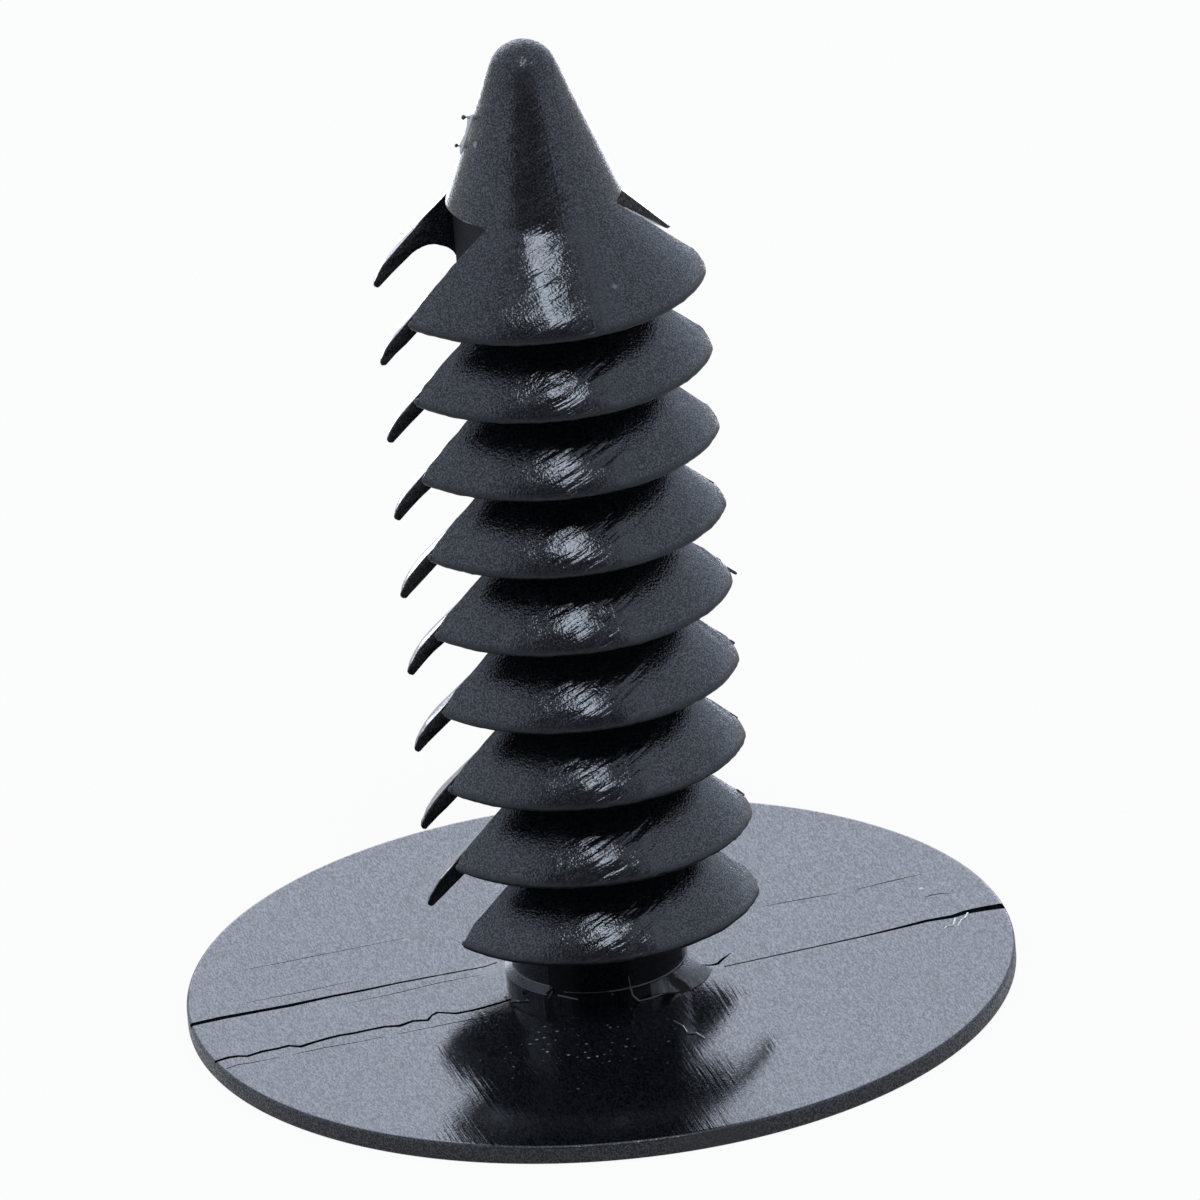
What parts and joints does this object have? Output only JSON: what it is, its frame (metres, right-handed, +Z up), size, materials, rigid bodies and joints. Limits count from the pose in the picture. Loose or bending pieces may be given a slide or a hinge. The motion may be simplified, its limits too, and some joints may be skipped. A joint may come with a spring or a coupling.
{
  "type": "ratchet clip",
  "caption": "Push-in panel clip: a thin flat round head with a round stem that carries opposed rows of sloping springy fins and ends in a blunt cone nose.",
  "frame": {"origin": "centre of the head's outer flat face, which the clip stands on", "axes": "+Z up the stem towards the nose; the rows of fins face -Y and +Y, with the bare band of the stem between them facing -X and +X"},
  "size_m": [0.025, 0.025, 0.0312],
  "materials": {
    "black_nylon": "moulded black, semi-gloss"
  },
  "bodies": {
    "root": {"clip_body": "black_nylon"}
  },
  "joints": []
}
